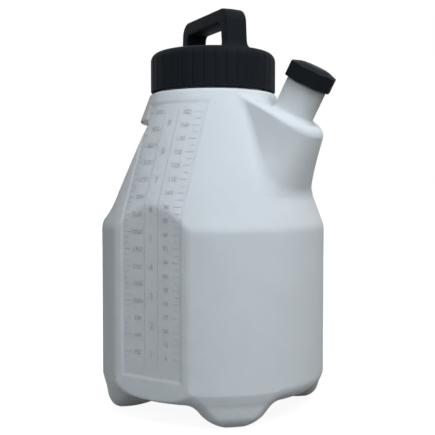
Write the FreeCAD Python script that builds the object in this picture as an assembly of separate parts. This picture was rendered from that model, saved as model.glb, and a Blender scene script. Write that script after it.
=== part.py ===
"""Airtight storage container: a blow-moulded drum bottle with a wide screw lid and a slanted spout.

The bottle is one hollow moulding of even wall: a round drum with two flat sides, a conical shoulder
with a flat grip recess at the back and a spout boss at the front, a wide neck and four hollow feet.
Its outer and inner surfaces come from the same recipe, drawn twice: once as it is, and once set in
by the wall. The lid carries its handle in one moulding. Each cap has a sealing piece of its own.

Frame: millimetres. +Z is the axis of the drum and the neck, +X points to the spout, -Y to the flat
side with the graduation strip. The origin is on the axis, in the plane that the feet stand on.
"""
import FreeCAD, Part
import math
import os

from FreeCAD import Placement, Rotation, Vector

# Bottle wall
WALL = 2.5

# Drum and shoulder
DRUM_R = 109.5
FLOOR_Z = 20.5
FLOOR_EDGE_R = 20.0
SHOULDER_Z = 176.5
SHOULDER_EDGE_R = 5.0
CONE_TOP_R = 61.5
CONE_TOP_Z = 304.5
CONE_TOP_EDGE_R = 3.0

# Flat sides, and the graduation strip that runs up one of them and on up the shoulder
FLAT_APOTHEM = 101.4
STRIP_WIDTH = 66.0
STRIP_DEPTH = 1.0
STRIP_BOTTOM_Z = 42.0
STRIP_TOP_Z = 292.0

# Grip recess at the back of the shoulder, parallel to the slope of the cone
GRIP_DEPTH = 39.5
GRIP_BOTTOM_Z = 184.5
GRIP_TOP_Z = 275.5
GRIP_BOTTOM_CORNER_R = 16.0
GRIP_TOP_CORNER_R = 6.0

# Feet, close to the diagonals
FOOT_ANGLE = 46.0
FOOT_INNER_R = 68.0
FOOT_PAD_WIDTH = 34.0
FOOT_FLANK_ANGLE = 40.0
FOOT_INNER_ANGLE = 45.0
FOOT_FLANK_EDGE_R = 20.0
FOOT_INNER_EDGE_R = 12.0
FOOT_OUTER_EDGE_R = 24.0
FOOT_SETBACK = 3.2

# Boss under the spout: a stadium-shaped post that leans forward, cut off square to the spout
BOSS_HALF_WIDTH = 39.0
BOSS_NOSE_X = 115.8
BOSS_NOSE_Z = 262.0
BOSS_LEAN = 14.0
BOSS_ROOT_Z = 170.0
BOSS_TOP_EDGE_R = 8.0

# Spout
SPOUT_TILT = 28.6
SPOUT_BASE_X = 88.4
SPOUT_BASE_Z = 280.0
SPOUT_R = 19.1
SPOUT_BORE_R = 15.4
SPOUT_LENGTH = 31.9
SPOUT_ROOT_R = 5.0
SPOUT_THREAD_ROOT_R = 17.6
SPOUT_THREAD_CREST_R = 18.75

# Wide neck
NECK_THREAD_ROOT_R = 53.5
NECK_THREAD_CREST_R = 56.0
NECK_BORE_R = 50.5

# Lid and its handle
LID_R = 61.5
LID_SKIRT_HEIGHT = 38.2
LID_TOP_THICKNESS = 3.5
LID_TOP_EDGE_R = 8.5
LID_RIB_COUNT = 36
LID_RIB_DEPTH = 1.2
LID_GAP = 1.5
HANDLE_TURN = -30.0
HANDLE_LENGTH = 98.0
HANDLE_TOP_LENGTH = 93.5
HANDLE_RISE = 37.2
HANDLE_WIDTH = 23.0
HANDLE_POST = 11.0
HANDLE_BAR = 13.5
HANDLE_CORNER_R = 14.0
HANDLE_HOLE_CORNER_R = 5.0
HANDLE_EDGE_R = 1.6

# Sealing ring of the lid
GASKET_THICKNESS = 2.5
GASKET_OVERLAP = 2.6

# Spout cap and its liner
CAP_ACROSS_FLATS = 43.6
CAP_SIDES = 8
CAP_HEIGHT = 17.4
CAP_TOP_THICKNESS = 3.0
CAP_CORNER_R = 5.0
CAP_TOP_FLAT_R = 13.0
CAP_BEVEL_DROP = 3.6
CAP_BEVEL_R = 12.0
LINER_THICKNESS = 1.2

# Clearances
THREAD_CLEARANCE = 0.8
SEAL_CLEARANCE = 0.6

ORIGIN = Vector(0, 0, 0)
UP = Vector(0, 0, 1)
ACROSS = Vector(0, 1, 0)

# Places that follow from the sizes above
CONE_ANGLE = math.degrees(math.atan2(DRUM_R - CONE_TOP_R, CONE_TOP_Z - SHOULDER_Z))
LID_BOTTOM_Z = CONE_TOP_Z + LID_GAP
LID_TOP_Z = LID_BOTTOM_Z + LID_SKIRT_HEIGHT
NECK_ROOT_Z = CONE_TOP_Z - 2 * WALL
NECK_TOP_Z = LID_TOP_Z - LID_TOP_THICKNESS - GASKET_THICKNESS
SPOUT_AXIS = Vector(math.sin(math.radians(SPOUT_TILT)), 0, math.cos(math.radians(SPOUT_TILT)))
SPOUT_BASE = Vector(SPOUT_BASE_X, 0, SPOUT_BASE_Z)
CAP_BASE = SPOUT_BASE + SPOUT_AXIS * SPOUT_LENGTH
CAP_BORE_DEPTH = CAP_HEIGHT - CAP_TOP_THICKNESS
SPOUT_NECK_HEIGHT = CAP_BORE_DEPTH - LINER_THICKNESS


def section_point(radius, height):
    """Point of the half section, in the plane through the axis and +X."""
    return Vector(radius, 0, height)


def inset_corners(corners, insets):
    """Move each edge of an anticlockwise outline in the XZ plane inwards by its own inset.

    Edge i runs from corner i to corner i + 1. The new corners are where the moved edges meet.
    """
    count = len(corners)
    lines = []
    for i, inset in enumerate(insets):
        along = (corners[(i + 1) % count] - corners[i]).normalize()
        inward = Vector(-along.z, 0, along.x)
        lines.append((corners[i] + inward * inset, along, inward))
    moved = []
    for i in range(count):
        before, before_along, _ = lines[i - 1]
        after, _, after_inward = lines[i]
        distance = after_inward.dot(after - before) / after_inward.dot(before_along)
        moved.append(before + before_along * distance)
    return moved


def rounded_wire(corners, radii):
    """Closed wire through the corners, with a tangent arc of the given radius at each one."""
    count = len(corners)
    edges = []
    arc_ends = []
    for i, (corner, radius) in enumerate(zip(corners, radii)):
        to_last = (corners[i - 1] - corner).normalize()
        to_next = (corners[(i + 1) % count] - corner).normalize()
        if radius <= 0:
            arc_ends.append((corner, corner))
            continue
        half_angle = to_last.getAngle(to_next) / 2
        setback = radius / math.tan(half_angle)
        start = corner + to_last * setback
        end = corner + to_next * setback
        bisector = (to_last + to_next).normalize()
        middle = corner + bisector * (radius / math.sin(half_angle) - radius)
        edges.append(Part.Arc(start, middle, end).toShape())
        arc_ends.append((start, end))
    for i in range(count):
        leave = arc_ends[i][1]
        arrive = arc_ends[(i + 1) % count][0]
        if leave.distanceToPoint(arrive) > 1e-6:
            edges.append(Part.makeLine(leave, arrive))
    return Part.Wire(Part.__sortEdges__(edges))


def revolved(corners, radii):
    """Solid of revolution about the Z axis of a rounded half section."""
    return Part.Face(rounded_wire(corners, radii)).revolve(ORIGIN, UP, 360)


def extruded(corners, radii, run):
    """Prism of a rounded outline, swept along the run vector."""
    return Part.Face(rounded_wire(corners, radii)).extrude(run)


def ring(outer_r, inner_r, bottom_z, height):
    """Flat ring about the Z axis."""
    base = Vector(0, 0, bottom_z)
    outer = Part.makeCylinder(outer_r, height, base, UP)
    return outer.cut(Part.makeCylinder(inner_r, height, base, UP))


def along_spout(shape):
    """Move a shape built on the Z axis at the origin onto the spout's axis, at the cap's base."""
    placed = shape.copy()
    placed.Placement = Placement(CAP_BASE, Rotation(UP, SPOUT_AXIS))
    return placed


def drum(inset, floor_inset):
    """Round drum with its conical shoulder, up to the ledge under the lid."""
    corners = [
        section_point(0, FLOOR_Z),
        section_point(DRUM_R, FLOOR_Z),
        section_point(DRUM_R, SHOULDER_Z),
        section_point(CONE_TOP_R, CONE_TOP_Z),
        section_point(0, CONE_TOP_Z),
    ]
    corners = inset_corners(corners, [floor_inset, inset, inset, floor_inset, 0])
    radii = [0, FLOOR_EDGE_R, SHOULDER_EDGE_R, CONE_TOP_EDGE_R, 0]
    return revolved(corners, [max(radius - inset, 0) for radius in radii])


def flat_sides(inset):
    """Pair of blocks that cut the two flat sides, which arch up into the shoulder."""
    blocks = []
    for side in (-1, 1):
        block = Part.makeBox(2 * DRUM_R, DRUM_R, CONE_TOP_Z, Vector(-DRUM_R, FLAT_APOTHEM - inset, 0))
        if side < 0:
            block = block.mirror(ORIGIN, ACROSS)
        blocks.append(block)
    return blocks[0].fuse(blocks[1])


def strip_recess(inset):
    """Thin layer between the wall and the sunken floor of the graduation strip."""
    half_width = STRIP_WIDTH / 2 + inset
    slab = Part.makeBox(
        2 * half_width,
        2 * DRUM_R,
        STRIP_TOP_Z - STRIP_BOTTOM_Z + 2 * inset,
        Vector(-half_width, -2 * DRUM_R, STRIP_BOTTOM_Z - inset),
    )
    sunken = drum(inset + STRIP_DEPTH, inset).cut(flat_sides(inset + STRIP_DEPTH))
    return slab.cut(sunken)


def cone_point(height):
    """Point of the cone's surface at the back, in the XZ plane."""
    radius = DRUM_R - (height - SHOULDER_Z) * math.tan(math.radians(CONE_ANGLE))
    return Vector(-radius, 0, height)


def grip_recess(inset):
    """Block that cuts the grip recess across the back: a sloping floor between two level shelves."""
    depth = Vector(GRIP_DEPTH / math.cos(math.radians(CONE_ANGLE)), 0, 0)
    low = cone_point(GRIP_BOTTOM_Z)
    high = cone_point(GRIP_TOP_Z)
    far = Vector(-2 * DRUM_R, 0, 0)
    corners = [low + depth, high + depth, far + UP * GRIP_TOP_Z, far + UP * GRIP_BOTTOM_Z]
    corners = inset_corners(corners, [-inset, -inset, 0, -inset])
    corners = [corner - ACROSS * DRUM_R for corner in corners]
    radii = [GRIP_BOTTOM_CORNER_R + inset, GRIP_TOP_CORNER_R + inset, 0, 0]
    return extruded(corners, radii, ACROSS * (2 * DRUM_R))


def foot_ring(inset):
    """Ring under the drum with the feet's outer wall, pad and sloping inner flank."""
    top_z = FLOOR_Z + FLOOR_EDGE_R
    outer_r = DRUM_R - FOOT_SETBACK
    corners = [
        section_point(FOOT_INNER_R, 0),
        section_point(outer_r, 0),
        section_point(outer_r, top_z),
        section_point(FOOT_INNER_R - top_z * math.tan(math.radians(FOOT_INNER_ANGLE)), top_z),
    ]
    corners = inset_corners(corners, [inset, inset, 0, inset])
    return revolved(corners, [FOOT_INNER_EDGE_R - inset, FOOT_OUTER_EDGE_R - inset, 0, 0])


def foot_wedge(angle, inset):
    """Radial bar with sloping flanks that cuts one foot out of the ring."""
    top_z = FLOOR_Z + FLOOR_EDGE_R
    half_pad = FOOT_PAD_WIDTH / 2
    half_top = half_pad + top_z * math.tan(math.radians(FOOT_FLANK_ANGLE))
    corners = [
        Vector(-half_pad, 0, 0),
        Vector(half_pad, 0, 0),
        Vector(half_top, 0, top_z),
        Vector(-half_top, 0, top_z),
    ]
    corners = inset_corners(corners, [inset, inset, 0, inset])
    edge_r = FOOT_FLANK_EDGE_R - inset
    wedge = extruded(corners, [edge_r, edge_r, 0, 0], ACROSS * DRUM_R)
    wedge.rotate(ORIGIN, UP, angle)
    return wedge


def feet(inset):
    """All feet, kept inside the drum's two flat sides."""
    angles = [FOOT_ANGLE, 180 - FOOT_ANGLE, 180 + FOOT_ANGLE, -FOOT_ANGLE]
    wedges = [foot_wedge(angle - 90, inset) for angle in angles]
    stands = foot_ring(inset).common(wedges[0].multiFuse(wedges[1:]))
    return stands.cut(flat_sides(inset + FOOT_SETBACK))


def boss(inset):
    """Leaning stadium post under the spout, cut off square to the spout and rounded at its top."""
    lean = math.tan(math.radians(BOSS_LEAN))
    root_shift = (BOSS_ROOT_Z - BOSS_NOSE_Z) * lean
    half_width = BOSS_HALF_WIDTH - inset
    nose_centre_x = BOSS_NOSE_X - BOSS_HALF_WIDTH + root_shift
    left = Vector(root_shift, half_width, BOSS_ROOT_Z)
    left_end = Vector(nose_centre_x, half_width, BOSS_ROOT_Z)
    nose = Vector(nose_centre_x + half_width, 0, BOSS_ROOT_Z)
    right_end = Vector(nose_centre_x, -half_width, BOSS_ROOT_Z)
    right = Vector(root_shift, -half_width, BOSS_ROOT_Z)
    outline = Part.Wire([
        Part.makeLine(right, right_end),
        Part.Arc(right_end, nose, left_end).toShape(),
        Part.makeLine(left_end, left),
        Part.makeLine(left, right),
    ])
    height = LID_TOP_Z - BOSS_ROOT_Z
    post = Part.Face(outline).extrude(Vector(lean * height, 0, height))
    cutter = Part.makeBox(4 * DRUM_R, 4 * DRUM_R, 2 * DRUM_R, Vector(-2 * DRUM_R, -2 * DRUM_R, -inset))
    cutter.Placement = Placement(SPOUT_BASE, Rotation(UP, SPOUT_AXIS)).multiply(cutter.Placement)
    post = post.cut(cutter)
    top = [face for face in post.Faces if face.normalAt(0, 0).getAngle(SPOUT_AXIS) < 1e-3][0]
    rim = [edge for edge in top.Edges if edge.BoundBox.XMax > nose_centre_x]
    return post.makeFillet(max(BOSS_TOP_EDGE_R - inset, 0.5), rim)


def spout_neck(radius, overlap, height):
    """Cylinder on the spout's axis, from inside the boss to a height above its top plane."""
    return Part.makeCylinder(radius, overlap + height, SPOUT_BASE - SPOUT_AXIS * overlap, SPOUT_AXIS)


def is_spout_root(edge):
    """True for the circle where the spout stands on the boss."""
    return isinstance(edge.Curve, Part.Circle) and edge.Curve.Center.distanceToPoint(SPOUT_BASE) < 1e-3


def bottle_body(inset):
    """Closed form of the bottle below its two necks, set in from the outer surface."""
    body = drum(inset, inset)
    body = body.cut(flat_sides(inset))
    body = body.cut(strip_recess(inset))
    body = body.cut(grip_recess(inset))
    body = body.fuse(feet(inset))
    body = body.fuse(boss(inset))
    return body.removeSplitter()


def bottle():
    """The whole bottle: outer form less the inner form and the two bores."""
    outer = bottle_body(0)
    outer = outer.fuse(spout_neck(SPOUT_R, BOSS_TOP_EDGE_R, SPOUT_LENGTH))
    root = [edge for edge in outer.Edges if is_spout_root(edge)]
    outer = outer.makeFillet(SPOUT_ROOT_R, root)
    outer = outer.fuse(spout_neck(SPOUT_THREAD_ROOT_R, 0, SPOUT_LENGTH + SPOUT_NECK_HEIGHT))
    outer = outer.fuse(Part.makeCylinder(NECK_THREAD_ROOT_R, NECK_TOP_Z - NECK_ROOT_Z, Vector(0, 0, NECK_ROOT_Z)))
    inner = bottle_body(WALL)
    inner = inner.fuse(spout_neck(SPOUT_BORE_R, 2 * WALL, SPOUT_LENGTH + CAP_HEIGHT))
    inner = inner.fuse(Part.makeCylinder(NECK_BORE_R, LID_TOP_Z - NECK_ROOT_Z, Vector(0, 0, NECK_ROOT_Z)))
    return outer.cut(inner)


def ribbed_outline(height):
    """Prism with rounded ribs side by side, as wide as the lid."""
    groove_r = LID_R - LID_RIB_DEPTH
    step = 2 * math.pi / LID_RIB_COUNT

    def around(radius, turns):
        angle = turns * step
        return Vector(radius * math.cos(angle), radius * math.sin(angle), 0)

    ribs = [
        Part.Arc(around(groove_r, i), around(LID_R, i + 0.5), around(groove_r, i + 1)).toShape()
        for i in range(LID_RIB_COUNT)
    ]
    return Part.Face(Part.Wire(ribs)).extrude(UP * height)


def handle():
    """Carrying handle: a flat strap bent into a bridge, standing on the lid's top."""
    sink = LID_TOP_THICKNESS / 2
    flare = (HANDLE_LENGTH - HANDLE_TOP_LENGTH) / 2
    half = HANDLE_LENGTH / 2
    top_half = half - flare
    front = -HANDLE_WIDTH / 2
    outer = [
        Vector(-half, front, -sink),
        Vector(half, front, -sink),
        Vector(top_half, front, HANDLE_RISE),
        Vector(-top_half, front, HANDLE_RISE),
    ]
    hole = [
        Vector(-half + HANDLE_POST, front, -2 * sink),
        Vector(half - HANDLE_POST, front, -2 * sink),
        Vector(top_half - HANDLE_POST, front, HANDLE_RISE - HANDLE_BAR),
        Vector(-top_half + HANDLE_POST, front, HANDLE_RISE - HANDLE_BAR),
    ]
    corner, hole_corner = HANDLE_CORNER_R, HANDLE_HOLE_CORNER_R
    strap = extruded(outer, [0, 0, corner, corner], ACROSS * HANDLE_WIDTH)
    strap = strap.cut(extruded(hole, [0, 0, hole_corner, hole_corner], ACROSS * HANDLE_WIDTH))
    rim = [edge for edge in strap.Edges if edge.BoundBox.YLength < 1e-3 and edge.BoundBox.ZMax > 0]
    strap = strap.makeFillet(HANDLE_EDGE_R, rim)
    strap.translate(Vector(0, 0, LID_TOP_Z))
    strap.rotate(ORIGIN, UP, HANDLE_TURN)
    return strap


def lid():
    """Wide screw lid with its ribbed skirt, flat top and handle, in one piece."""
    corners = [
        section_point(0, 0),
        section_point(LID_R, 0),
        section_point(LID_R, LID_SKIRT_HEIGHT),
        section_point(0, LID_SKIRT_HEIGHT),
    ]
    shell = revolved(corners, [0, 0, LID_TOP_EDGE_R, 0])
    shell = shell.common(ribbed_outline(LID_SKIRT_HEIGHT))
    bore_depth = LID_SKIRT_HEIGHT - LID_TOP_THICKNESS
    shell = shell.cut(Part.makeCylinder(NECK_THREAD_CREST_R + THREAD_CLEARANCE, bore_depth))
    shell.translate(Vector(0, 0, LID_BOTTOM_Z))
    return shell.fuse(handle()).removeSplitter()


def lid_gasket():
    """Sealing ring between the neck's rim and the lid."""
    outer_r = NECK_THREAD_CREST_R + THREAD_CLEARANCE - SEAL_CLEARANCE
    return ring(outer_r, NECK_BORE_R - GASKET_OVERLAP, NECK_TOP_Z, GASKET_THICKNESS)


def spout_cap():
    """Screw cap of the spout, with flats, rounded corners and a bevelled crown."""
    corner_distance = CAP_ACROSS_FLATS / 2 / math.cos(math.pi / CAP_SIDES)
    step = 2 * math.pi / CAP_SIDES
    corners = [
        Vector(corner_distance * math.cos(i * step), corner_distance * math.sin(i * step), 0)
        for i in range(CAP_SIDES)
    ]
    crown = [
        section_point(0, 0),
        section_point(corner_distance, 0),
        section_point(corner_distance, CAP_HEIGHT - CAP_BEVEL_DROP),
        section_point(CAP_TOP_FLAT_R, CAP_HEIGHT),
        section_point(0, CAP_HEIGHT),
    ]
    shell = extruded(corners, [CAP_CORNER_R] * CAP_SIDES, UP * CAP_HEIGHT)
    shell = shell.common(revolved(crown, [0, 0, 0, CAP_BEVEL_R, 0]))
    return along_spout(shell.cut(Part.makeCylinder(SPOUT_THREAD_CREST_R + SEAL_CLEARANCE, CAP_BORE_DEPTH)))


def spout_cap_liner():
    """Sealing disc between the spout's rim and the cap."""
    base = Vector(0, 0, SPOUT_NECK_HEIGHT)
    return along_spout(Part.makeCylinder(SPOUT_THREAD_CREST_R, LINER_THICKNESS, base, UP))


def main():
    """Write one STEP file per piece."""
    os.makedirs("parts", exist_ok=True)
    pieces = {
        "bottle": bottle(),
        "lid": lid(),
        "lid_gasket": lid_gasket(),
        "spout_cap": spout_cap(),
        "spout_cap_liner": spout_cap_liner(),
    }
    for name, shape in pieces.items():
        shape.exportStep(f"parts/{name}.step")
        litres = shape.Volume / 1e6
        print(name, "valid", shape.isValid(), "solids", len(shape.Solids), f"{litres:.4f} l")


main()
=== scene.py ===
"""Dress the airtight storage container: moulded detail, finishes, light and camera.

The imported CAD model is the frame. The bottle, the lid and the spout cap are made again as smooth
surfaces with the soft edges of real mouldings, their screw threads and the graduation marks, and
each one rides on the CAD body it stands for. The two seals stay as packed and get a finish.

Shapes are worked out in millimetres, in the frame's own axes, and put into meshes in metres.
"""
import logging
import math
from dataclasses import dataclass, field
from enum import Enum
from typing import Any

import bpy
import numpy as np
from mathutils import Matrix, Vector


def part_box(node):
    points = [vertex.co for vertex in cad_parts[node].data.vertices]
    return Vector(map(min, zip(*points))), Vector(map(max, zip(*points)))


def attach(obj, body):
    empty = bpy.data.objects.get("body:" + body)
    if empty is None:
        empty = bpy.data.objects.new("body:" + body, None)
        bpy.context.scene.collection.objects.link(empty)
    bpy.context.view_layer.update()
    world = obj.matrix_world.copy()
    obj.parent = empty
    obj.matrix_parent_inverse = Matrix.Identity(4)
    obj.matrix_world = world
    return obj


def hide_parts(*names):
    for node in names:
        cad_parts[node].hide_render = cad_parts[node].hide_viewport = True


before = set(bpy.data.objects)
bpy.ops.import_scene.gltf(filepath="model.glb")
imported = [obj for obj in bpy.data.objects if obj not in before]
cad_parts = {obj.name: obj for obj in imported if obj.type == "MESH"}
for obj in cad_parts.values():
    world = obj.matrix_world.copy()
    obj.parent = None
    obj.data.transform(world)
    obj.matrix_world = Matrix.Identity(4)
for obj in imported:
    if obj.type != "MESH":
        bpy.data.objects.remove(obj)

LOG = logging.getLogger("container")
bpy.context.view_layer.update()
MM = 0.001
TURN = 2 * math.pi
HALVINGS = 26
NORMAL_REACH = 0.05
SMALL = 1e-6
THREAD_FADES_PER_TURN = 3

Array = np.ndarray
Faces = list[tuple[int, ...]]
Triple = tuple[float, float, float]
Tone = tuple[float, float, float, float]


class Body(Enum):
    """CAD bodies that pieces ride on."""

    BOTTLE = "bottle"
    LID = "lid"
    CAP = "spout_cap"


class Slot(Enum):
    """Material slots of the record."""

    NATURAL = "natural_polyethylene"
    BLACK = "black_plastic"
    RUBBER = "seal_rubber"
    FOAM = "liner_foam"


# Arithmetic of soft forms. A form is a distance in millimetres, negative inside.


def smooth_step(value: Array) -> Array:
    """Ease from 0 to 1 as the value goes from 0 to 1: three of its squares less two of its cubes."""
    t = np.clip(value, 0.0, 1.0)
    return t * t * (3 - 2 * t)


def soft_max(a: Array, b: Array, width: float) -> Array:
    """The larger of two distances, eased over a band where they are nearly equal.

    A quarter of the band's width is added where they are equal. Towards the band's ends it falls to
    nothing, as the square of the share of the band that is left.

    Args:
        a: One distance.
        b: The other distance.
        width: Difference at which the band ends.

    Returns:
        The eased distance.
    """
    near = np.maximum(width - np.abs(a - b), 0) / width
    return np.maximum(a, b) + near * near * width / 4


def soft_min(a: Array, b: Array, width: float) -> Array:
    """The smaller of two distances, eased as soft_max eases the larger."""
    return -soft_max(-a, -b, width)


def round_max(a: Array, b: Array, radius: float) -> Array:
    """What two forms share, with an arc along the edge where they meet.

    Within the radius of both faces the distance is measured from the arc's centre line.

    Args:
        a: Distance from one form.
        b: Distance from the other form.
        radius: Radius of the arc.

    Returns:
        Distance from the shared form.
    """
    corner = np.hypot(np.maximum(a + radius, 0), np.maximum(b + radius, 0))
    return np.minimum(np.maximum(a, b), -radius) + corner


# Grids and meshes


def face_list(corners: list[Array]) -> Faces:
    """Faces from arrays of point indices: all first corners, all second corners, and so on."""
    stacked = np.stack(corners, axis=-1)
    return [tuple(face) for face in stacked.reshape(-1, len(corners)).tolist()]


def open_grid(rows: int, columns: int) -> Faces:
    """Faces of a grid with four edges.

    Args:
        rows: Number of rows of points.
        columns: Points in a row.

    Returns:
        Point indices of each face, which faces up when columns run along X and rows along Y.
    """
    index = np.arange(rows * columns).reshape(rows, columns)
    return face_list([index[:-1, :-1], index[:-1, 1:], index[1:, 1:], index[1:, :-1]])


def closed_grid(rows: int, columns: int) -> Faces:
    """Faces of a grid whose columns close round, with a fan of triangles at each pole.

    Args:
        rows: Number of full rows of points, poles apart.
        columns: Points in a row.

    Returns:
        Point indices of each face, turned so that they face outwards when the rows run up. The
        first pole comes before the rows and the last one after them.
    """
    index = np.arange(rows * columns).reshape(rows, columns) + 1
    right = np.roll(index, -1, axis=1)
    first_pole = np.zeros(columns, int)
    last_pole = np.full(columns, rows * columns + 1)
    wall = face_list([index[:-1], right[:-1], right[1:], index[1:]])
    return wall + face_list([first_pole, right[0], index[0]]) + face_list([index[-1], right[-1], last_pole])


def looped_grid(rows: int, columns: int) -> Faces:
    """Faces of a grid that closes round both ways, as on a ring.

    Args:
        rows: Number of rows of points.
        columns: Points in a row.

    Returns:
        Point indices of each face.
    """
    index = np.arange(rows * columns).reshape(rows, columns)
    right = np.roll(index, -1, axis=1)
    up = np.roll(index, -1, axis=0)
    return face_list([index, right, np.roll(up, -1, axis=1), up])


def put_in_scene(name: str, data: bpy.types.ID) -> bpy.types.Object:
    """Make an object that shows the data, at the scene's origin.

    Args:
        name: Name of the object.
        data: Mesh, curve, lamp or camera that it shows.

    Returns:
        The object.
    """
    thing = bpy.data.objects.new(name, data)
    bpy.context.scene.collection.objects.link(thing)
    return thing


def add_piece(
    name: str,
    points: Array,
    faces: Faces,
    body: Body,
    material: bpy.types.Material,
    normals: Array | None = None,
) -> bpy.types.Object:
    """Make a smooth mesh object from points in millimetres and let it ride on a body.

    Args:
        name: Name of the piece.
        points: Points in millimetres, as a list or a grid of them.
        faces: Point indices of each face.
        body: CAD body that the piece moves with.
        material: Finish of the piece.
        normals: Surface normals at the points, where the form gives them.

    Returns:
        The new object, at the origin, with its place in its mesh.
    """
    mesh = bpy.data.meshes.new(name)
    mesh.from_pydata((points.reshape(-1, 3) * MM).tolist(), [], faces)
    mesh.shade_smooth()
    if normals is not None:
        mesh.normals_split_custom_set_from_vertices(normals.tolist())
    mesh.materials.append(material)
    piece = put_in_scene(name, mesh)
    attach(piece, body.value)
    return piece


def report(piece: bpy.types.Object) -> None:
    """Log a piece's name and its number of faces."""
    LOG.info("%s: %d faces", piece.name, len(piece.data.polygons))


def node_corners(node: str) -> tuple[Array, Array]:
    """Lowest and highest corners of a CAD node at rest, in millimetres."""
    low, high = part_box(node)
    return np.array(low) / MM, np.array(high) / MM


def arc_points(centre: tuple[float, float], radius: float, start: float, end: float, count: int) -> Array:
    """Points along an arc in a half section, from one angle to another, in degrees."""
    angle = np.radians(np.linspace(start, end, count))
    return np.stack([centre[0] + radius * np.cos(angle), centre[1] + radius * np.sin(angle)], axis=-1)


def line_points(start: tuple[float, float], end: tuple[float, float], count: int) -> Array:
    """Points along a line in a half section, its last point left out."""
    t = np.arange(count)[:, None] / count
    return np.array(start) * (1 - t) + np.array(end) * t


def turned(radius: Array, height: Array, angle: Array) -> Array:
    """Points at a radius, a height and an angle about the frame's Z axis."""
    return np.stack([radius * np.cos(angle), radius * np.sin(angle), height + 0 * angle], axis=-1)


def thread_bead(height: Array, angle: Array, lead: float, low: float, high: float, width: float) -> Array:
    """How far a single screw thread stands out at each height and angle, from 0 to 1.

    The thread's middle climbs by the lead in each turn. Its section is full over the middle two
    fifths of the width and gone three fifths of the width from its middle. It fades out over a
    third of a turn at both ends of its range.

    Args:
        height: Heights along the thread's axis.
        angle: Angles about it.
        lead: Climb in one turn.
        low: Height at which the thread begins.
        high: Height at which it ends.
        width: Width of the bead.

    Returns:
        Share of the thread's full height.
    """
    middle = (height - low) / lead - angle / TURN
    off = (middle - np.round(middle)) * lead
    bead = smooth_step(1.5 - 2.5 * np.abs(off) / width)
    turns_from_ends = np.minimum(height - off - low, high - height + off) / lead
    return bead * smooth_step(turns_from_ends * THREAD_FADES_PER_TURN)


# Shader nodes


@dataclass
class Graph:
    """Short way to place shader nodes and link their sockets."""

    tree: bpy.types.NodeTree

    def feed(self, node: bpy.types.Node, inputs: dict[Any, Any]) -> None:
        """Set or link a node's inputs.

        Args:
            node: The node.
            inputs: A value or an output socket for each named or numbered input.
        """
        for key, value in inputs.items():
            if isinstance(value, bpy.types.NodeSocket):
                self.tree.links.new(value, node.inputs[key])
            else:
                node.inputs[key].default_value = value

    def add(self, kind: str, inputs: dict[Any, Any] | None = None, **settings: Any) -> bpy.types.Node:
        """Place a node.

        Args:
            kind: Blender's name for the node's type.
            inputs: A value or an output socket for each named or numbered input.
            **settings: Properties of the node.

        Returns:
            The node.
        """
        node = self.tree.nodes.new(kind)
        for key, value in settings.items():
            setattr(node, key, value)
        self.feed(node, inputs or {})
        return node

    def math(self, operation: str, a: Any, b: Any = 0.0, clamp: bool = False) -> bpy.types.NodeSocket:
        """Output of a Math node on two values or sockets."""
        node = self.add("ShaderNodeMath", {0: a, 1: b}, operation=operation, use_clamp=clamp)
        return node.outputs[0]

    def mix(self, factor: Any, a: Any, b: Any) -> bpy.types.NodeSocket:
        """Output of a colour mix."""
        node = self.add("ShaderNodeMix", {0: factor, 6: a, 7: b}, data_type="RGBA")
        return node.outputs[2]

    def between(self, value: Any, low: float, high: float) -> bpy.types.NodeSocket:
        """Map a mask from 0..1 to low..high."""
        node = self.add("ShaderNodeMapRange", {"Value": value, "To Min": low, "To Max": high})
        return node.outputs["Result"]

    def noise(self, place: Any, scale: Any, detail: float, roughness: float = 0.5) -> bpy.types.NodeSocket:
        """Output of a noise texture, from 0 to 1."""
        inputs = {"Vector": place, "Scale": scale, "Detail": detail, "Roughness": roughness}
        return self.add("ShaderNodeTexNoise", inputs).outputs[0]

    def bump(self, height: Any, strength: float, distance: float, below: Any = None) -> bpy.types.NodeSocket:
        """Normal of a bump in the skin.

        Args:
            height: Socket that gives the height, from 0 to 1.
            strength: Share of the bump that shows.
            distance: Height in metres that 1 stands for.
            below: Normal of the bump that this one lies on, if any.

        Returns:
            The bumped normal.
        """
        inputs = {"Height": height, "Strength": strength, "Distance": distance}
        if below is not None:
            inputs["Normal"] = below
        return self.add("ShaderNodeBump", inputs).outputs[0]


def backdrop_share(graph: Graph) -> bpy.types.NodeSocket:
    """1 for the rays that see the backdrop itself: from the camera, or off or through a surface.

    Args:
        graph: Graph of the floor's material or of the world.

    Returns:
        The largest of the three ray masks.
    """
    path = graph.add("ShaderNodeLightPath").outputs
    straight = graph.math("MAXIMUM", path["Is Camera Ray"], path["Is Transmission Ray"])
    return graph.math("MAXIMUM", straight, path["Is Glossy Ray"])


def start_material(name: str) -> tuple[bpy.types.Material, Graph, bpy.types.Node]:
    """New node material that holds only a Principled BSDF joined to the output.

    Args:
        name: Name of the material.

    Returns:
        The material, its graph and its Principled BSDF.
    """
    material = bpy.data.materials.new(name)
    material.use_nodes = True
    material.node_tree.nodes.clear()
    graph = Graph(material.node_tree)
    surface = graph.add("ShaderNodeBsdfPrincipled")
    graph.add("ShaderNodeOutputMaterial", {"Surface": surface.outputs[0]})
    return material, graph, surface


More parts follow.
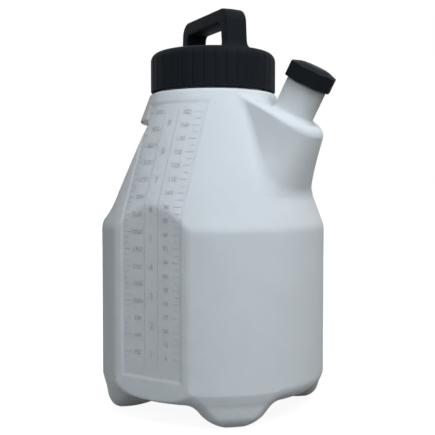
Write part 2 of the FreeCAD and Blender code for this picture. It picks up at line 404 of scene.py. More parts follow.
@dataclass(frozen=True)
class MouldedSkin:
    """Skin of moulded plastic: fine grain, slow waves, a mottle and hairline scuffs. Metres."""

    grain_size: float = 0.001
    wave_size: float = 0.03
    grain_detail: float = 3.0
    wave_detail: float = 1.0
    mottles_per_wave: float = 2.6
    mottle_detail: float = 4.0
    mottle_roughness: float = 0.6
    scuff_turn: Triple = (0.4, 0.9, 0.2)
    scuff_stretch: Triple = (1.0, 22.0, 1.6)
    scuff_scale: float = 55.0
    scuff_detail: float = 5.0
    scuff_faintest: float = 0.62
    scuff_fullest: float = 0.72

    def build(self) -> bpy.types.NodeTree:
        """Make the node group that the finishes share.

        Inputs are the place on the piece, the size of the grain and that of the waves in the wall.
        Outputs are the grain's height, the waves' height, the mottle and a mask of the scuffs, all
        from 0 to 1.

        Returns:
            The node group.
        """
        tree = bpy.data.node_groups.new("moulded_skin", "ShaderNodeTree")
        face = tree.interface
        face.new_socket("Place", in_out="INPUT", socket_type="NodeSocketVector")
        for name, value in (("Grain Size", self.grain_size), ("Wave Size", self.wave_size)):
            face.new_socket(name, in_out="INPUT", socket_type="NodeSocketFloat").default_value = value
        for name in ("Grain", "Waves", "Mottle", "Scuffs"):
            face.new_socket(name, in_out="OUTPUT", socket_type="NodeSocketFloat")
        graph = Graph(tree)
        given = graph.add("NodeGroupInput").outputs
        place = given["Place"]
        per_grain = graph.math("DIVIDE", 1.0, given["Grain Size"])
        per_wave = graph.math("DIVIDE", 1.0, given["Wave Size"])
        per_mottle = graph.math("MULTIPLY", per_wave, self.mottles_per_wave)
        outputs = {
            "Grain": graph.noise(place, per_grain, self.grain_detail),
            "Waves": graph.noise(place, per_wave, self.wave_detail),
            "Mottle": graph.noise(place, per_mottle, self.mottle_detail, self.mottle_roughness),
            "Scuffs": self.scuffs(graph, place),
        }
        graph.add("NodeGroupOutput", outputs)
        return tree

    def scuffs(self, graph: Graph, place: bpy.types.NodeSocket) -> bpy.types.NodeSocket:
        """Mask of hairline scuffs: the crests of a noise drawn out into thin streaks.

        Args:
            graph: Graph of the node group.
            place: Place on the piece.

        Returns:
            The mask.
        """
        stretch = {"Vector": place, "Rotation": self.scuff_turn, "Scale": self.scuff_stretch}
        stretched = graph.add("ShaderNodeMapping", stretch).outputs[0]
        streaks = graph.noise(stretched, self.scuff_scale, self.scuff_detail)
        crests = {"Value": streaks, "From Min": self.scuff_faintest, "From Max": self.scuff_fullest}
        return graph.add("ShaderNodeMapRange", crests, clamp=True).outputs["Result"]


def place_skin(
    graph: Graph, group: bpy.types.NodeTree, grain: float, waves: float
) -> dict[str, bpy.types.NodeSocket]:
    """Place the moulded skin in a material, on Object coordinates.

    Args:
        graph: Graph of the material.
        group: The moulded skin group.
        grain: Size of the fine grain, in metres.
        waves: Size of the slow waves, in metres.

    Returns:
        The group's outputs by name, and the place itself.
    """
    place = graph.add("ShaderNodeTexCoord").outputs["Object"]
    inputs = {"Place": place, "Grain Size": grain, "Wave Size": waves}
    skin = graph.add("ShaderNodeGroup", inputs, node_tree=group)
    return {output.name: output for output in skin.outputs} | {"Place": place}


@dataclass(frozen=True)
class NaturalPolyethylene:
    """Undyed blow-moulded polyethylene: milky, with a matt, gently uneven skin. Metres."""

    clear_tone: Tone = (0.825, 0.84, 0.825, 1.0)
    milky_tone: Tone = (0.855, 0.865, 0.845, 1.0)
    roughness: tuple[float, float] = (0.62, 0.76)
    gloss: float = 0.1
    ior: float = 1.5
    scatter_share: float = 0.55
    scatter_reach: Triple = (0.9, 1.0, 1.05)
    scatter_depth: float = 0.006
    grain: float = 0.0011
    waves: float = 0.034
    parting_half_width: float = 0.0004
    wave_bump: tuple[float, float] = (0.35, 0.004)
    parting_bump: tuple[float, float] = (0.5, 0.0003)
    grain_bump: tuple[float, float] = (0.25, 0.00025)

    def build(self, group: bpy.types.NodeTree) -> bpy.types.Material:
        """Make the material, with the faint parting line of the two mould halves in the plane Y = 0.

        Args:
            group: The moulded skin group.

        Returns:
            The material.
        """
        material, graph, surface = start_material(Slot.NATURAL.value)
        skin = place_skin(graph, group, self.grain, self.waves)
        across = graph.add("ShaderNodeSeparateXYZ", {0: skin["Place"]}).outputs[1]
        from_line = graph.math("DIVIDE", graph.math("ABSOLUTE", across), self.parting_half_width)
        ridge = graph.math("SUBTRACT", 1.0, from_line, clamp=True)
        slow = graph.bump(skin["Waves"], *self.wave_bump)
        line = graph.bump(ridge, *self.parting_bump, slow)
        looks = {
            "Base Color": graph.mix(skin["Mottle"], self.clear_tone, self.milky_tone),
            "Roughness": graph.between(skin["Mottle"], *self.roughness),
            "Subsurface Weight": self.scatter_share,
            "Subsurface Radius": self.scatter_reach,
            "Subsurface Scale": self.scatter_depth,
            "IOR": self.ior,
            "Specular IOR Level": self.gloss,
            "Normal": graph.bump(skin["Grain"], *self.grain_bump, line),
        }
        graph.feed(surface, looks)
        return material


@dataclass(frozen=True)
class BlackPlastic:
    """Injection-moulded black polypropylene: matt, finely grained, with pale hairline scuffs. Metres."""

    tone: Tone = (0.012, 0.0145, 0.0175, 1.0)
    worn_tone: Tone = (0.022, 0.024, 0.028, 1.0)
    roughness: tuple[float, float] = (0.58, 0.72)
    scuff_share: float = 0.45
    scuff_roughness: float = 0.2
    gloss: float = 0.05
    ior: float = 1.49
    grain: float = 0.0006
    waves: float = 0.02
    grain_bump: tuple[float, float] = (0.4, 0.0002)
    wave_bump: tuple[float, float] = (0.2, 0.001)

    def build(self, group: bpy.types.NodeTree) -> bpy.types.Material:
        """Make the material.

        Args:
            group: The moulded skin group.

        Returns:
            The material.
        """
        material, graph, surface = start_material(Slot.BLACK.value)
        skin = place_skin(graph, group, self.grain, self.waves)
        wear = graph.math("MULTIPLY", skin["Scuffs"], self.scuff_share)
        scraped = graph.math("MULTIPLY", wear, self.scuff_roughness)
        fine = graph.bump(skin["Grain"], *self.grain_bump)
        looks = {
            "Base Color": graph.mix(wear, self.tone, self.worn_tone),
            "Roughness": graph.math("ADD", graph.between(skin["Mottle"], *self.roughness), scraped),
            "IOR": self.ior,
            "Specular IOR Level": self.gloss,
            "Normal": graph.bump(skin["Waves"], *self.wave_bump, fine),
        }
        graph.feed(surface, looks)
        return material


@dataclass(frozen=True)
class SealMaterial:
    """Matt finish of a sealing piece, rubber or foam, told apart by tone and grain. Metres."""

    slot: Slot
    tone: Tone
    pale_tone: Tone
    grain: float
    roughness: float
    roughness_spread: float = 0.08
    waves: float = 0.012
    grain_bump: tuple[float, float] = (0.5, 0.0002)

    def build(self, group: bpy.types.NodeTree) -> bpy.types.Material:
        """Make the material.

        Args:
            group: The moulded skin group.

        Returns:
            The material.
        """
        material, graph, surface = start_material(self.slot.value)
        skin = place_skin(graph, group, self.grain, self.waves)
        smoothest = self.roughness - self.roughness_spread
        roughest = self.roughness + self.roughness_spread
        looks = {
            "Base Color": graph.mix(skin["Mottle"], self.tone, self.pale_tone),
            "Roughness": graph.between(skin["Grain"], smoothest, roughest),
            "Normal": graph.bump(skin["Grain"], *self.grain_bump),
        }
        graph.feed(surface, looks)
        return material


# Bottle


@dataclass(frozen=True)
class Station:
    """Place where a meridian of the bottle is taken, and where its rows get denser or sparser.

    radius and height give a point of the half section, and tilt the way out through the wall there,
    in degrees from level. The back values hold behind the bottle, where the meridians dip into the
    grip recess. rows is the number of rows up to the next station.
    """

    rows: int
    radius: float
    height: float
    tilt: float
    back_radius: float
    back_height: float
    back_tilt: float

    @classmethod
    def all_round(cls, rows: int, radius: float, height: float, tilt: float) -> "Station":
        """Station that is the same behind the bottle as elsewhere."""
        return cls(rows, radius, height, tilt, radius, height, tilt)


@dataclass
class BlownBottle:
    """The hollow bottle with its two necks, its feet and its graduation marks. Millimetres, degrees."""

    finish: bpy.types.Material
    wall: float = 2.5
    floor_z: float = 20.0
    floor_edge_r: float = 16.5
    shoulder_z: float = 176.5
    cone_top_r: float = 61.5
    cone_top_z: float = 304.5
    cone_top_edge_r: float = 3.0
    crease_width: float = 1.4
    strip_half_width: float = 33.0
    strip_depth: float = 0.6
    strip_bottom_z: float = 42.0
    strip_top_z: float = 292.0
    strip_edge_width: float = 4.0
    grip_depth: float = 39.5
    grip_bottom_z: float = 184.5
    grip_top_z: float = 275.5
    grip_bottom_corner_r: float = 16.0
    grip_top_corner_r: float = 6.0
    grip_edge_r: float = 3.0
    foot_angle: float = 45.0
    foot_inner_r: float = 72.0
    foot_half_pad: float = 19.5
    foot_flank_angle: float = 40.0
    foot_inner_angle: float = 52.0
    foot_outer_angle: float = 10.0
    foot_outer_z: float = 25.0
    foot_edge_r: float = 12.0
    foot_corner_r: float = 10.0
    foot_setback: float = 2.4
    foot_blend: float = 5.0
    boss_half_width: float = 35.5
    boss_foot_spread: float = 24.0
    boss_spread_height: float = 22.0
    boss_nose_length: float = 40.0
    boss_nose_x: float = 117.0
    boss_nose_z: float = 262.0
    boss_foot_z: float = 206.5
    boss_back_x: float = 45.0
    boss_root_z: float = 170.0
    boss_flank_rim_r: float = 3.5
    boss_nose_rim_r: float = 8.0
    boss_blend: float = 4.0
    spout_tilt: float = 28.6
    spout_base_x: float = 88.4
    spout_base_z: float = 280.0
    spout_r: float = 19.1
    spout_bore_r: float = 15.4
    spout_length: float = 31.9
    spout_neck_height: float = 13.2
    spout_root_r: float = 5.0
    spout_sunk: float = 2.4
    spout_thread_root_r: float = 17.6
    spout_thread_crest_r: float = 18.75
    spout_thread_lead: float = 4.2
    spout_thread_width: float = 2.3
    spout_thread_start: float = 1.8
    spout_thread_end: float = 2.0
    spout_columns: int = 144
    neck_thread_root_r: float = 53.5
    neck_thread_crest_r: float = 56.0
    neck_thread_lead: float = 9.0
    neck_thread_width: float = 4.6
    neck_thread_start: float = 8.0
    neck_thread_end: float = 4.0
    neck_columns: int = 288
    neck_bore_r: float = 50.5
    neck_sunk: float = 2.0
    mouth_clearance: float = 1.2
    crest_rounding: float = 0.1
    columns: int = 360
    inner_row_step: int = 8
    ray_inwards: float = 25.0
    ray_outwards: float = 60.0
    strip_column_angle: float = 20.0
    strip_column_ease: float = 25.0
    strip_hump: tuple[float, float] = (1.5, 5.0)
    boss_column_angle: float = 24.0
    boss_hump: tuple[float, float] = (6.5, 1.6)
    density_samples: int = 7201
    recess_low_angle: float = 124.0
    recess_widening: float = 14.0
    recess_ease: float = 16.0
    recess_step: float = 0.5
    least_cosine: float = 0.2
    drum_r: float = field(init=False)
    flat_apothem: float = field(init=False)
    neck_top_z: float = field(init=False)
    cone_angle: float = field(init=False)

    def __post_init__(self) -> None:
        """Take the drum, the flats and the neck's height from the frame."""
        low, high = node_corners("bottle")
        self.drum_r = -low[0]
        self.flat_apothem = high[1]
        self.neck_top_z = high[2]
        self.cone_angle = math.atan2(self.drum_r - self.cone_top_r, self.cone_top_z - self.shoulder_z)

    # Form of the wall

    def cone_radius(self, height: Array) -> Array:
        """Radius of drum and cone at a height: constant below the shoulder, then falling evenly."""
        above = np.maximum(height - self.shoulder_z, 0)
        return self.drum_r - above * math.tan(self.cone_angle)

    def drum_form(self, radius: Array, z: Array) -> Array:
        """Round drum and cone: a wall, a slope, a floor and a top, with an arc or a crease between.

        Args:
            radius: Distances from the axis.
            z: Heights.

        Returns:
            Distance from the drum and cone.
        """
        wall = radius - self.drum_r
        slope = wall * math.cos(self.cone_angle) + (z - self.shoulder_z) * math.sin(self.cone_angle)
        side = soft_max(wall, slope, self.crease_width)
        side = round_max(side, self.floor_z - z, self.floor_edge_r)
        return round_max(side, z - self.cone_top_z, self.cone_top_edge_r)

    def grip_form(self, x: Array, z: Array) -> Array:
        """Room of the grip recess: behind a plane parallel to the cone, between two level shelves.

        Args:
            x: Places along X.
            z: Heights.

        Returns:
            Distance from the room that the recess leaves.
        """
        slope = self.cone_angle
        climb = self.grip_bottom_z - self.shoulder_z
        floor_x = -self.drum_r + climb * math.tan(slope) + self.grip_depth / math.cos(slope)
        floor = (x - floor_x) * math.cos(slope) - (z - self.grip_bottom_z) * math.sin(slope)
        room = round_max(floor, self.grip_bottom_z - z, self.grip_bottom_corner_r)
        return round_max(room, z - self.grip_top_z, self.grip_top_corner_r)

    def feet_form(self, x: Array, y: Array, radius: Array, z: Array) -> Array:
        """Four feet: a ring with sloping inner flank, shared with radial bars with sloping flanks.

        The ring's outer wall is drawn in towards the bottom by the mould's draft.

        Args:
            x: Places along X.
            y: Places along Y.
            radius: Distances from the axis.
            z: Heights.

        Returns:
            Distance from the feet.
        """
        inner_slope = math.radians(self.foot_inner_angle)
        draft = math.radians(self.foot_outer_angle)
        drawn_in = np.maximum(self.foot_outer_z - z, 0) * math.tan(draft)
        outer = (radius - self.drum_r + self.foot_setback + drawn_in) * math.cos(draft)
        inner = (self.foot_inner_r - z * math.tan(inner_slope) - radius) * math.cos(inner_slope)
        turn = math.radians(self.foot_angle)
        flank_slope = math.radians(self.foot_flank_angle)
        sideways = np.abs(np.abs(y) * math.cos(turn) - np.abs(x) * math.sin(turn))
        flank = (sideways - self.foot_half_pad - z * math.tan(flank_slope)) * math.cos(flank_slope)
        sides = round_max(np.maximum(outer, inner), flank, self.foot_corner_r)
        foot = np.maximum(round_max(-z, sides, self.foot_edge_r), z - self.floor_z - self.floor_edge_r)
        return np.maximum(foot, np.abs(y) - (self.flat_apothem - self.foot_setback))

    def boss_form(self, x: Array, y: Array, z: Array) -> Array:
        """Post that ends in half an ellipse at each level, cut off square to the spout.

        Its nose leans out as it rises. Its width falls off quickly above its foot, so that the foot
        lies along the cone's circle and the rim is a narrow nose. The rim is crisp along the flanks
        and rounder over the nose.

        Args:
            x: Places along X.
            y: Places along Y.
            z: Heights.

        Returns:
            Distance from the boss.
        """
        foot_r = self.cone_radius(self.boss_foot_z)
        up = z - self.boss_foot_z
        lean = (self.boss_nose_x - foot_r) / (self.boss_nose_z - self.boss_foot_z)
        spread = self.boss_foot_spread * np.exp(-np.abs(up) / self.boss_spread_height)
        half_width = self.boss_half_width + spread
        ahead = np.maximum(x - foot_r - up * lean + self.boss_nose_length, 0)
        share = np.hypot(ahead / self.boss_nose_length, y / half_width)
        slope = np.hypot(ahead / self.boss_nose_length**2, y / half_width**2)
        post = share * (share - 1) / np.maximum(slope, SMALL) / math.hypot(1, lean)
        nose = smooth_step((x - self.spout_base_x) / (self.boss_nose_x - self.spout_base_x))
        rim_r = self.boss_flank_rim_r + (self.boss_nose_rim_r - self.boss_flank_rim_r) * nose
        post = round_max(post, self.above_boss(x, z), rim_r)
        return np.maximum(post, np.maximum(self.boss_back_x - x, self.boss_root_z - z))

    def above_boss(self, x: Array, z: Array) -> Array:
        """Height above the boss's top plane, along the spout."""
        tilt = math.radians(self.spout_tilt)
        return (x - self.spout_base_x) * math.sin(tilt) + (z - self.spout_base_z) * math.cos(tilt)

    def strip_sink(self, x: Array, y: Array, z: Array) -> Array:
        """How far the graduation strip is sunk at a place, eased over the width of its edge.

        Args:
            x: Places along X.
            y: Places along Y, of which only the front ones are sunk.
            z: Heights.

        Returns:
            Depth of the strip.
        """
        beside = self.strip_half_width - np.abs(x)
        inside = np.minimum(beside, np.minimum(z - self.strip_bottom_z, self.strip_top_z - z))
        sunk = self.strip_depth * smooth_step(inside / self.strip_edge_width + 0.5)
        return np.where(y < 0, sunk, 0.0)

    def form(self, points: Array) -> Array:
        """Distance from the bottle's outer surface below its necks, negative inside.

        Drum and cone lose the two flats, the strip's depth and the grip recess, then gain the feet,
        which stay within the drum, and the boss.

        Args:
            points: Places in the frame's axes.

        Returns:
            Distance at each place.
        """
        x, y, z = points[..., 0], points[..., 1], points[..., 2]
        radius = np.hypot(x, y)
        flats = np.abs(y) - self.flat_apothem
        sink = self.strip_sink(x, y, z)
        body = soft_max(self.drum_form(radius, z), flats, self.crease_width) + sink
        body = round_max(body, -self.grip_form(x, z), self.grip_edge_r)
        body = soft_min(body, self.feet_form(x, y, radius, z), self.foot_blend)
        body = np.maximum(body, np.maximum(radius - self.drum_r, flats + sink))
        return soft_min(body, self.boss_form(x, y, z), self.boss_blend)

    def normals(self, points: Array) -> Array:
        """Unit normals of the form, from its differences over a tenth of a millimetre.

        Args:
            points: Places in the frame's axes.

        Returns:
            The outward normal at each place.
        """
        reach = NORMAL_REACH * np.eye(3)
        slope = np.stack([self.form(points + step) - self.form(points - step) for step in reach], axis=-1)
        return slope / np.maximum(np.linalg.norm(slope, axis=-1, keepdims=True), SMALL)

    def cast(self, starts: Array, ways: Array, inset: float, back: float, ahead: float) -> Array:
        """Move each start along its way onto the surface set in by the inset, by halving an interval.

        Args:
            starts: Points near the surface.
            ways: Unit vectors that lead outwards.
            inset: Depth below the outer surface.
            back: How far before the start the interval begins, inside the wall.
            ahead: How far after the start it ends, outside.

        Returns:
            Points on the surface.
        """
        low = np.full(starts.shape[:-1], -back)
        high = np.full(starts.shape[:-1], ahead)
        for _ in range(HALVINGS):
            middle = (low + high) / 2
            outside = self.form(starts + ways * middle[..., None]) + inset > 0
            high = np.where(outside, middle, high)
            low = np.where(outside, low, middle)
        return starts + ways * ((low + high) / 2)[..., None]

    # Grid of the wall

    def cone_station(
        self, rows: int, height: float, back_radius: float, back_height: float, back_tilt: float
    ) -> Station:
        """Station that meets the cone level, with a place of its own behind the bottle."""
        radius = float(self.cone_radius(height))
        return Station(rows, radius, height, 0.0, back_radius, back_height, back_tilt)

    def stations(self) -> list[Station]:
        """Stations of a meridian from the middle of the floor, up the drum and cone, to the mouth.

        Returns:
            The stations, in the order of the rows.
        """
        plain, sloped = Station.all_round, self.cone_station
        shelf_z, ceiling_z = self.grip_bottom_z, self.grip_top_z
        drum_r, top_z, ledge_r = self.drum_r, self.cone_top_z, self.cone_top_r
        return [
            plain(8, 1.0, self.floor_z, -90),
            plain(34, 40.0, self.floor_z, -77),
            plain(20, 90.0, self.floor_z, -55),
            plain(18, 105.0, 26.0, -33),
            plain(8, drum_r, 48.0, -8),
            plain(16, drum_r, 60.0, 0),
            plain(8, drum_r, 170.0, 0),
            sloped(6, 180.0, self.cone_radius(180.0), 180.0, 10),
            sloped(16, 186.0, self.cone_radius(shelf_z), shelf_z, 25),
            sloped(12, 204.0, 75.4, shelf_z, 40),
            sloped(24, 219.0, 60.4, 195.0, 25),
            sloped(6, 252.0, 35.0, 262.0, -5),
            sloped(8, 259.0, 31.5, 272.0, -30),
            sloped(16, 268.0, 37.0, ceiling_z, -50),
            sloped(14, 286.0, self.cone_radius(ceiling_z), ceiling_z, -25),
            plain(6, ledge_r + 1.4, top_z - 4.0, 10),
            plain(4, ledge_r - 1.0, top_z - 0.5, 55),
            plain(0, self.neck_bore_r + self.mouth_clearance, top_z, 90),
        ]

    def meridians(self) -> dict[str, Array]:
        """Values of the stations along the rows, each station's value blending into the next one's.

        Returns:
            For each of a station's values, a column with one value for each row.
        """
        stations = self.stations()
        places = np.concatenate([[0], np.cumsum([station.rows for station in stations[:-1]])])
        row = np.arange(places[-1] + 1)
        run = {}
        for name in ("radius", "height", "tilt", "back_radius", "back_height", "back_tilt"):
            values = [getattr(station, name) for station in stations]
            run[name] = np.interp(row, places, values)[:, None]
        return run

    def azimuths(self) -> Array:
        """Angles of the columns, in degrees from +X, closer together where edges run up the wall.

        The columns' density has a hump at each side of the strip and at each flank of the boss, of a
        given spread and gain, and the angles share out its running sum evenly.

        Returns:
            The angle of each column.
        """
        strip, boss = self.strip_column_angle, self.boss_column_angle
        humps = [(centre, *self.strip_hump) for centre in (-90 - strip, -90 + strip)]
        humps += [(centre, *self.boss_hump) for centre in (-boss, boss)]
        angle = np.linspace(-180, 180, self.density_samples)
        density = np.ones_like(angle)
        for centre, spread, gain in humps:
            density += gain * np.exp(-(((angle - centre) / spread) ** 2))
        share = np.concatenate([[0], np.cumsum((density[1:] + density[:-1]) / 2)])
        even = np.linspace(0, share[-1], self.columns, endpoint=False)
        return np.interp(even, share, angle)

    def follow_strip(self, azimuth: Array, radius: Array) -> Array:
        """Turn the columns beside the strip so that they keep to its two edges.

        Those columns go where the strip's half width is met at the wall's radius. The ones between
        them spread evenly, and the ones beyond ease back to their own angles.

        Args:
            azimuth: Angle of each column, in degrees.
            radius: Radius of the wall at each row.

        Returns:
            The turned angles, one for each row and column.
        """
        own, ease = self.strip_column_angle, self.strip_column_ease
        edge = np.degrees(np.arcsin(self.strip_half_width / radius))
        off = azimuth + 90
        away = np.abs(off)
        inner = away * edge / own
        outer = edge + (away - own) * (own + ease - edge) / ease
        turned_away = np.where(away < own, inner, np.where(away < own + ease, outer, away))
        return np.sign(off) * turned_away - 90

    def wall_grid(self) -> tuple[Array, Array]:
        """Rays that meet the wall, as rows of meridian stations by columns.

        Behind the bottle each meridian eases over to its back values, sooner the higher it is. In
        the recess it keeps to a flat floor, whose radius grows with the secant of the angle.

        Returns:
            The rays' starts and their ways.
        """
        run = self.meridians()
        widest = np.hypot(self.flat_apothem, self.strip_half_width)
        wall_r = np.minimum(self.cone_radius(run["height"]), widest)
        azimuth = self.follow_strip(self.azimuths()[None, :], wall_r)
        angle = np.radians(azimuth)
        back_wall_r = self.cone_radius(run["back_height"])
        in_recess = run["back_radius"] < np.maximum(run["radius"], back_wall_r) - self.recess_step
        cosine = np.maximum(-np.cos(angle), self.least_cosine)
        floor_r = np.minimum(run["back_radius"] / cosine, back_wall_r)
        back_r = np.where(in_recess, floor_r, run["back_radius"])
        climb = (run["back_height"] - self.grip_bottom_z) / (self.grip_top_z - self.grip_bottom_z)
        first = self.recess_low_angle - self.recess_widening * np.clip(climb, 0, 1)
        from_front = np.abs(np.mod(azimuth + 180, 360) - 180)
        share = smooth_step((from_front - first) / self.recess_ease)
        radius = run["radius"] * (1 - share) + back_r * share
        height = run["height"] * (1 - share) + run["back_height"] * share
        tilt = np.radians(run["tilt"] * (1 - share) + run["back_tilt"] * share)
        return turned(radius, height, angle), turned(np.cos(tilt), np.sin(tilt), angle)

    def build_shell(self) -> bpy.types.Object:
        """Make the bottle's wall: the outer surface up to the mouth, then the inner one back down.

        Returns:
            The shell, which stands for the CAD bottle.
        """
        starts, ways = self.wall_grid()
        outer = self.cast(starts, ways, 0.0, self.ray_inwards, self.ray_outwards)
        few = np.unique(np.concatenate([np.arange(0, len(starts), self.inner_row_step), [len(starts) - 1]]))
        inner = self.cast(starts[few], ways[few], self.wall, self.ray_inwards, self.ray_outwards)[::-1]
        rows = np.concatenate([outer, inner])
        bottom = np.array([[0, 0, self.floor_z]])
        inside = np.array([[0, 0, self.floor_z + self.wall]])
        points = np.concatenate([bottom, rows.reshape(-1, 3), inside])
        outward = self.normals(outer).reshape(-1, 3)
        inward = -self.normals(inner).reshape(-1, 3)
        normals = np.concatenate([[[0, 0, -1]], outward, inward, [[0, 0, 1]]])
        faces = closed_grid(len(rows), self.columns)
        shell = add_piece("bottle_shell", points, faces, Body.BOTTLE, self.finish, normals)
        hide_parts("bottle")
        return shell

    # Necks

    def build_wide_neck(self) -> bpy.types.Object:
        """Make the wide neck: a ring with a screw thread outside, a rounded rim and a plain bore.

        Its section runs down the bore, out under the ledge, up the thread zone and over the rim, and
        is turned about the axis. The thread stands out from the root radius by its bead.

        Returns:
            The wide neck.
        """
        root, bore, top = self.neck_thread_root_r, self.neck_bore_r, self.neck_top_z
        base = self.cone_top_z - self.neck_sunk
        rim_in, rim_out = 0.8, 1.2
        section = np.concatenate([
            line_points((bore, top - rim_in), (bore, base), 12),
            line_points((bore, base), (root, base), 3),
            line_points((root, base), (root, top - rim_out), 88),
            arc_points((root - rim_out, top - rim_out), rim_out, 0, 90, 6),
            arc_points((bore + rim_in, top - rim_in), rim_in, 90, 170, 5),
        ])
        angle = np.linspace(0, TURN, self.neck_columns, endpoint=False)
        radius, height = section[:, :1], section[:, 1:]
        low, high = base + self.neck_thread_start, top - self.neck_thread_end
        bead = thread_bead(height, angle, self.neck_thread_lead, low, high, self.neck_thread_width)
        lift = bead * (self.neck_thread_crest_r - root - self.crest_rounding)
        outside = radius > (bore + root) / 2
        points = turned(radius + np.where(outside, lift, 0), height, angle)
        faces = looped_grid(*points.shape[:2])
        return add_piece("wide_neck", points, faces, Body.BOTTLE, self.finish)

    def spout_frame(self, radius: Array, height: Array, angle: Array) -> Array:
        """Points about the spout's axis, in the frame's axes.

        Args:
            radius: Distances from the spout's axis.
            height: Heights along it, above the boss's top plane.
            angle: Angles about it.

        Returns:
            The points.
        """
        tilt = math.radians(self.spout_tilt)
        along = np.array([math.sin(tilt), 0, math.cos(tilt)])
        across = np.array([math.cos(tilt), 0, -math.sin(tilt)])
        side = np.array([0, 1, 0])
        base = np.array([self.spout_base_x, 0, self.spout_base_z])
        around = np.cos(angle)[..., None] * across + np.sin(angle)[..., None] * side
        return base + along * (height + 0 * angle)[..., None] + radius[..., None] * around

    def build_spout(self) -> bpy.types.Object:
        """Make the spout: a tube with a flared root, a stop bead, a screw thread and a rounded rim.

        The section runs down the bore into the boss, out below its top plane, up the flare's arc and
        the outside to the rim, and is turned about the spout's axis.

        Returns:
            The spout.
        """
        root_r, bore, outer = self.spout_root_r, self.spout_bore_r, self.spout_r
        neck_r, length, sunk = self.spout_thread_root_r, self.spout_length, self.spout_sunk
        top = length + self.spout_neck_height
        skirt_r = outer + root_r
        rim_in, rim_out, buried = 0.7, 0.9, 0.05
        section = np.concatenate([
            line_points((bore, top - rim_in), (bore, -sunk), 14),
            line_points((bore, -sunk), (skirt_r, -sunk / 2), 4),
            line_points((skirt_r, -sunk / 2), (skirt_r, -buried), 2),
            arc_points((skirt_r, root_r - buried), root_r, 270, 180, 12),
            line_points((outer, root_r), (outer, length - 3.0), 10),
            arc_points((outer - 1.0, length - 2.0), 1.0, 0, 90, 5),
            line_points((neck_r, length - 0.6), (neck_r, top - 1.0), 44),
            arc_points((neck_r - rim_out, top - rim_out), rim_out, 0, 90, 5),
            arc_points((bore + rim_in, top - rim_in), rim_in, 90, 170, 5),
        ])
        angle = np.linspace(0, TURN, self.spout_columns, endpoint=False)
        radius, height = section[:, :1], section[:, 1:]
        low, high = length + self.spout_thread_start, top - self.spout_thread_end
        bead = thread_bead(height, angle, self.spout_thread_lead, low, high, self.spout_thread_width)
        lift = bead * (self.spout_thread_crest_r - neck_r - self.crest_rounding)
        outside = radius > (bore + neck_r) / 2
        points = self.spout_frame(radius + np.where(outside, lift, 0), height, angle)
        faces = looped_grid(*points.shape[:2])
        return add_piece("pouring_spout", points, faces, Body.BOTTLE, self.finish)

    def build(self) -> list[bpy.types.Object]:
        """Make the shell, both necks and the marks."""
        marks = GraduationMarks(self)
        return [self.build_shell(), self.build_wide_neck(), self.build_spout(), marks.build()]


@dataclass(frozen=True)
class Scale:
    """Column of ticks that run in from one edge of the strip, with a number at each long one.

    Millimetres. edge_x is where the ticks begin, and inwards is the sign of the way they run along
    X. start is the height of the first tick above the foot of the marks.
    """

    edge_x: float
    inwards: int
    start: float
    pitch: float
    long_every: int
    long_width: float
    short_width: float
    number_x: float
    number_step: int


